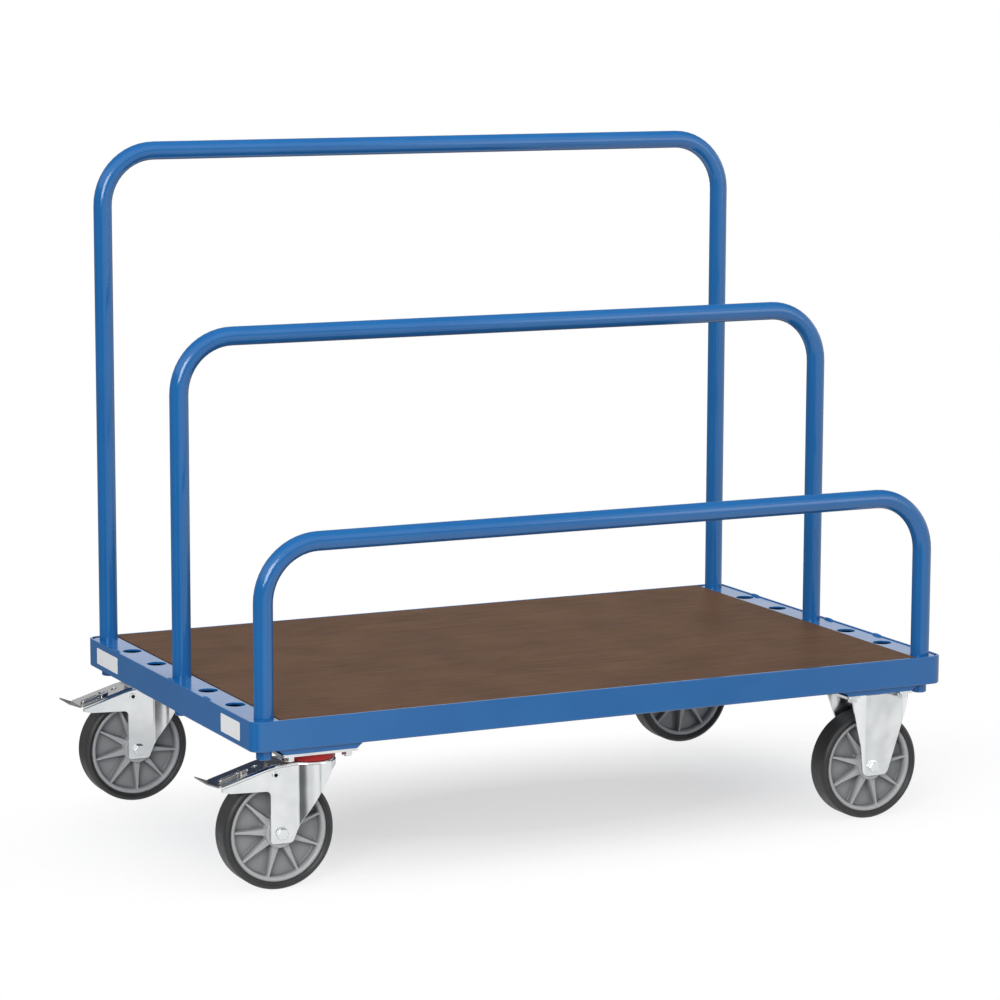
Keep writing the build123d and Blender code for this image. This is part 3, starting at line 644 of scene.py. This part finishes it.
def grid_quads(rows, columns, close_rows=True):
    """Corner numbers of the quads of a grid whose columns close, and whose rows may close too."""
    row = np.arange(rows if close_rows else rows - 1)[:, None]
    column = np.arange(columns)[None, :]
    next_row = (row + 1) % rows
    next_column = (column + 1) % columns
    corners = [row * columns + column, row * columns + next_column,
               next_row * columns + next_column, next_row * columns + column]
    return np.stack(np.broadcast_arrays(*corners), axis=-1).reshape(-1, 4)


def ring_stack(rings, first, last):
    """Points and faces of rings joined one to the next, closed by fans to the points first and last."""
    rows, columns = rings.shape[:2]
    column = np.arange(columns)
    following = (column + 1) % columns
    end = (rows - 1) * columns
    poles = np.full(columns, rows * columns)
    fans = np.vstack([np.stack([following, column, poles], axis=1),
                      np.stack([end + column, end + following, poles + 1], axis=1)])
    points = np.vstack([rings.reshape(-1, 3), [first, last]])
    return points, [grid_quads(rows, columns, close_rows=False), fans]


def outward(points, faces):
    """A list of all faces, turned over if the volume that they close comes out negative."""
    volume = 0.0
    for part in faces:
        for k in range(1, part.shape[1] - 1):
            a, b, c = (points[part[:, corner]] for corner in (0, k, k + 1))
            volume += np.einsum("ij,ij->", a, np.cross(b, c))
    return [corners for part in faces for corners in (part if volume > 0 else part[:, ::-1]).tolist()]


print("helpers for grids ready")

# %% Pieces


def make_piece(name, points, faces, body, slot, replaced=()):
    """A smooth mesh piece at the origin, with its place in its points, riding on a body."""
    points = points.reshape(-1, 3)
    mesh = bpy.data.meshes.new(name)
    mesh.from_pydata(points.tolist(), [], outward(points - points.mean(0), faces))
    mesh.polygons.foreach_set("use_smooth", np.ones(len(mesh.polygons), bool))
    mesh.materials.append(finishes[slot])
    piece = bpy.data.objects.new(name, mesh)
    scene.collection.objects.link(piece)
    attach(piece, body)
    if replaced:
        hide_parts(*replaced)
    return piece


def node_middle(node):
    """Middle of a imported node's box."""
    low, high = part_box(node)
    return np.array((low + high) / 2)


print("helpers for pieces ready")

# %% [markdown]
# ## Tyres
# A tyre is solid rubber moulded round the wheel. Its section has a seat on the rim, a thin bead, a side
# with a faint step where the mould halves meet the side plate, a round shoulder and a flat crown. It is
# one section turned about the axle. A Screw modifier could do it, but a grid keeps every line in its
# place.

# %% Tyres
WHEELS = ("front_left", "rear_left", "front_right", "rear_right")
# Half a section in mm: the radius, and the offset from the wheel's middle plane
TYRE_CORNERS = [
    (87.0, 0.0), (87.0, 20.5), (89.6, 24.4), (92.4, 24.5), (93.0, 25.0), (100.0, 25.0), (100.0, 0.0)]
TYRE_RADII = [0.4, 1.0, 0.3, 0.3, 8.0]
TYRE_ARC_STEPS = 7
SECTION_STEP = 4.0
TYRE_TURNS = 144


def turned(section, columns, middle):
    """Turn a section of radius and offset about Y: x and z are the radius times cosine and sine."""
    angle = np.linspace(0.0, 2.0 * np.pi, columns, endpoint=False)
    radius, offset = section[:, :1], section[:, 1:]
    x = middle[0] + radius * np.cos(angle)
    z = middle[2] + radius * np.sin(angle)
    return np.stack(np.broadcast_arrays(x, middle[1] + offset, z), axis=-1)


tyre_outline = rounded_outline(TYRE_CORNERS, TYRE_RADII, TYRE_ARC_STEPS)
tyre_section = mirrored_loop(divided(tyre_outline, SECTION_STEP)) * MM
tyre_quads = grid_quads(len(tyre_section), TYRE_TURNS)
for wheel in WHEELS:
    points = turned(tyre_section, TYRE_TURNS, node_middle(f"{wheel}_tyre"))
    make_piece(f"{wheel}_moulded_tyre", points, [tyre_quads], f"{wheel}_wheel", "tyre_rubber",
               [f"{wheel}_tyre"])
print("tyre rows:", len(tyre_section))

# %% [markdown]
# ## Wheel centres
# A centre is one moulding: a long hub, a thin web, nine ribs on each face and a rim ring. Ribs could be
# cut by booleans, but a moulding has no sharp corner. Here the section is turned as the tyre's is, and
# the ribs lift the web of each face. Columns bunch up along the ribs, so that their flanks stay clean
# with few faces.

# %% Ribs
RIBS = 9
SECTOR = np.pi / RIBS
# In mm: the radii where a rib starts and ends, its height over the middle plane, the half width of its flat
# top, and the width of its hollow flank
RIB_FROM = 26.0
RIB_TO = 80.0
RIB_TOP_AT_HUB = 21.0
RIB_TOP_AT_RING = 16.5
RIB_HALF_AT_HUB = 5.6
RIB_HALF_AT_RING = 1.5
RIB_FLANK = 2.4
# The power by which its width falls, and the share of its sector that it may fill
RIB_NARROWING = 1.7
RIB_ROOM = 0.95
# Columns over half a sector: shares of the flat top, of the hollow flank, and of the panel beyond its foot
TOP_COLUMNS = np.array([0.0, 0.5, 0.9])
FLANK_COLUMNS = np.array([0.0, 0.08, 0.2, 0.4, 0.65, 1.0])
PANEL_COLUMNS = np.array([0.12, 0.35, 0.65])


def rib_sizes(radius):
    """Height and half width of a rib's top: the height falls evenly outwards, the width fast at first."""
    along = np.clip((radius - RIB_FROM) / (RIB_TO - RIB_FROM), 0.0, 1.0)
    height = RIB_TOP_AT_HUB + (RIB_TOP_AT_RING - RIB_TOP_AT_HUB) * along
    half = RIB_HALF_AT_RING + (RIB_HALF_AT_HUB - RIB_HALF_AT_RING) * (1.0 - along) ** RIB_NARROWING
    return height, half


def rib_columns(radius, half):
    """Angles of the columns from a rib's middle outwards, and of its foot.

    On the rib an angle is the arcsine of the way across over the radius. The panel's columns share out what
    is left of the sector.
    """
    room = RIB_ROOM * radius * np.sin(SECTOR)
    flank = np.minimum(half + RIB_FLANK, room) - half
    across = np.hstack([half * TOP_COLUMNS, half + flank * FLANK_COLUMNS])
    on_rib = np.arcsin(across / radius)
    foot = on_rib[:, -1:]
    return np.hstack([on_rib, foot + (SECTOR - foot) * PANEL_COLUMNS]), foot


print("ribs:", RIBS, "columns:", RIBS * 2 * (len(TOP_COLUMNS) + len(FLANK_COLUMNS) + len(PANEL_COLUMNS)))

# %% Ribbed surface
RIB_FLANK_CURVE = 1.5
# Radii in mm between which a rib lifts the face
LIFTED_FROM = 26.1
LIFTED_TO = 81.0
# Radii in mm of the walls of hub and ring, and how far the painted shade reaches out from a wall
WEB_FROM = 27.0
WEB_TO = 78.0
SHADE_REACH = 4.0


def shade_from_walls(radius, angle, foot):
    """Painted shade: e to the power of minus distance over reach, to the nearest rib, hub or ring."""
    to_rib = radius * np.clip(angle - foot, 0.0, None)
    to_wall = np.minimum(np.abs(radius - WEB_FROM), np.abs(WEB_TO - radius))
    return np.exp(-np.minimum(to_rib, to_wall) / SHADE_REACH)


def ribbed_centre(section, phase):
    """Turn the section, and lift both faces of the web towards the rib's top where a rib passes.

    The lift is whole on the flat top, (1 - share of the flank) to a power on the flank, and nothing on the
    panel. Also gives each point's painted shade.
    """
    radius, offset = section[:, :1], section[:, 1:]
    height, half = rib_sizes(radius)
    angle, foot = rib_columns(radius, half)
    painted_shade = shade_from_walls(radius, angle, foot)
    fall = np.concatenate([np.zeros(len(TOP_COLUMNS)), FLANK_COLUMNS, np.ones(len(PANEL_COLUMNS))])
    lift = (1.0 - fall) ** RIB_FLANK_CURVE
    angle = np.hstack([-angle[:, :0:-1], angle, np.full_like(radius, SECTOR)])
    painted_shade = np.hstack([painted_shade[:, :0:-1], painted_shade, painted_shade[:, -1:]])
    lift = np.concatenate([lift[:0:-1], lift, [0.0]])
    rise = np.maximum(height - np.abs(offset), 0.0) * lift
    on_web = (radius > LIFTED_FROM) & (radius < LIFTED_TO)
    lifted = offset + np.sign(offset) * np.where(on_web, rise, 0.0)
    starts = np.radians(phase) + 2.0 * SECTOR * np.arange(RIBS)
    turn = (starts[None, :, None] + angle[:, None, :]).reshape(len(section), -1)
    points = np.stack([radius * np.cos(turn), np.tile(lifted, (1, RIBS)), radius * np.sin(turn)], axis=-1)
    return points, np.tile(painted_shade, (1, RIBS))


print("ribbed surface ready")

# %% Wheel centres
# Half a section in mm, as the tyre's
CENTRE_CORNERS = [
    (15.0, 0.0), (15.0, 29.5), (26.0, 29.5), (27.0, 3.5),
    (77.8, 3.5), (80.0, 20.5), (87.0, 20.5), (87.0, 0.0)]
CENTRE_RADII = [0.8, 1.8, 4.0, 3.0, 0.9, 0.6]
CENTRE_ARC_STEPS = 5
# Degrees by which each wheel stands turned
RIB_PHASES = {"front_left": 17.0, "rear_left": -8.0, "front_right": 5.0, "rear_right": 24.0}
# Offsets in mm from the middle plane where the painted light starts to make a face paler, and is full
RAISED_FROM = 9.0
RAISED_FULL = 15.0

centre_outline = rounded_outline(CENTRE_CORNERS, CENTRE_RADII, CENTRE_ARC_STEPS)
centre_section = mirrored_loop(divided(centre_outline, SECTION_STEP))
for wheel in WHEELS:
    middle = node_middle(f"{wheel}_tyre")
    points, painted_shade = ribbed_centre(centre_section, RIB_PHASES[wheel])
    points = points * MM + middle
    piece = make_piece(f"{wheel}_moulded_centre", points, [grid_quads(*points.shape[:2])], f"{wheel}_wheel",
                       "wheel_grey", [f"{wheel}_wheel_centre"])
    # Values on the points for the painted light on proud faces and the painted shade near walls
    proud = np.abs(points[..., 1].ravel() - middle[1]) / MM
    raised = np.clip((proud - RAISED_FROM) / (RAISED_FULL - RAISED_FROM), 0.0, 1.0)
    for value, amount in (("raised", raised), ("painted_shade", painted_shade.ravel())):
        piece.data.attributes.new(value, "FLOAT", "POINT").data.foreach_set("value", amount)
print("wheel centre grid:", points.shape[:2])

# %% [markdown]
# ## Blank labels
# Two blank labels of white film sit on the rim's end face. Each is a real sheet, a quarter of a
# millimetre thick with rounded corners, so that its edge catches light. A patch in the paint's node tree
# would be simpler, but it would have no edge. The outline is carried up in rings, drawn in at the top
# like a cut edge.

# %% Label film
LABEL_FILM = (0.955, 0.965, 0.975)
LABEL_DULL = (0.92, 0.93, 0.94)
LABEL_CLOUDS = 0.02
LABEL_GLOSS_SPOTS = 0.008
LABEL_ROUGHNESS = (0.34, 0.46)
LABEL_GRAIN = 0.004
LABEL_GRAIN_DEPTH = 0.00002


def label_film():
    """White film with faint grey clouds, a satin that wanders and a soft grain."""
    material, tree, shader = start_finish("label_film", Metallic=0.0)
    feed(tree, shader, Base_Color=clouds(tree, LABEL_CLOUDS, LABEL_FILM, LABEL_DULL, detail=3.0),
         Roughness=ramp(tree, noise(tree, LABEL_GLOSS_SPOTS), *LABEL_ROUGHNESS),
         Normal=bump(tree, noise(tree, LABEL_GRAIN), LABEL_GRAIN_DEPTH))
    return material


finishes["label_film"] = label_film()
print("label film ready")

# %% Blank labels
LABEL_THICK = 0.00025
LABEL_CORNER = 0.0025
LABEL_ARC_STEPS = 6
# Rings from back to front: how far each is drawn in, and its height as a share of the thickness
LABEL_EDGE = [(0.0, 0.0), (0.0, 0.7), (0.00012, 1.0), (0.0012, 1.0)]
# Place along the rim's end from the cart's middle, length and height
LABELS = {"front_label": (-0.3135, 0.087, 0.032), "rear_label": (0.304, 0.112, 0.030)}


def label_outline(length, height):
    """A rounded rectangle about the origin, as one closed line."""
    a, b = length / 2, height / 2
    corners = [(0.0, b), (a, b), (a, -b), (-a, -b), (-a, b), (0.0, b)]
    return rounded_outline(corners, [LABEL_CORNER] * 4, LABEL_ARC_STEPS)[:-1]


rim_low, rim_high = (np.array(corner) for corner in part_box("rim_frame"))
rim_middle = (rim_low + rim_high) / 2
for name, (along, length, height) in LABELS.items():
    rings = []
    for inset, lift in LABEL_EDGE:
        flat = label_outline(length - 2 * inset, height - 2 * inset)
        depth = np.full(len(flat), rim_low[0] - lift * LABEL_THICK)
        rings.append(np.stack([depth, along + flat[:, 0], rim_middle[2] + flat[:, 1]], axis=1))
    back = (rim_low[0], along, rim_middle[2])
    front = (rim_low[0] - LABEL_THICK, along, rim_middle[2])
    make_piece(name, *ring_stack(np.array(rings), back, front), "platform", "label_film")
print("labels:", ", ".join(LABELS))

# %% [markdown]
# ## Weld tacks
# Short welds hold the socket channels in the rim. A plain rod would look glued on. A weld is a row of
# frozen drops, so each tack is a round bead along the seam whose radius swells once per drop and dies
# away at both ends. It is painted with the rest.

# %% Weld tacks
TACK_LENGTH = 0.030
TACK_RADIUS = 0.0036
TACK_DROPS = 8
TACK_SWELL = 0.10
TACK_ROWS = 66
TACK_COLUMNS = 20
TACK_PLACES = (-0.195, -0.020, 0.262)


def tack(middle):
    """Rings along Y: radius = full size x root of a half circle x (1 + swell of the drops)."""
    along = np.linspace(-1.0, 1.0, TACK_ROWS + 2)[1:-1]
    turn = np.linspace(0.0, 2.0 * np.pi, TACK_COLUMNS, endpoint=False)
    ends = (1.0 - along ** 2) ** 0.25
    drops = 1.0 + TACK_SWELL * np.abs(np.sin(np.pi * TACK_DROPS * (along + 1.0) / 2))
    radius = (TACK_RADIUS * ends * drops)[:, None]
    rings = np.stack(np.broadcast_arrays(
        radius * np.cos(turn), (TACK_LENGTH / 2 * along)[:, None], radius * np.sin(turn)), axis=-1)
    tip = np.array((0.0, TACK_LENGTH / 2, 0.0))
    return ring_stack(rings + middle, middle - tip, middle + tip)


for side, edge in (("left", 0), ("right", 1)):
    channel = np.array(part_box(f"{side}_socket_channel"))
    for number, place in enumerate(TACK_PLACES, 1):
        seam = np.array((channel[edge, 0], place, channel[1, 2]))
        make_piece(f"{side}_weld_tack_{number}", *tack(seam), "platform", "blue_paint")
print("weld tacks:", 2 * len(TACK_PLACES))

# %% [markdown]
# ## View
# Colours are shown as they are written, with the plain Standard view.

# %% View
scene.view_settings.view_transform = "Standard"
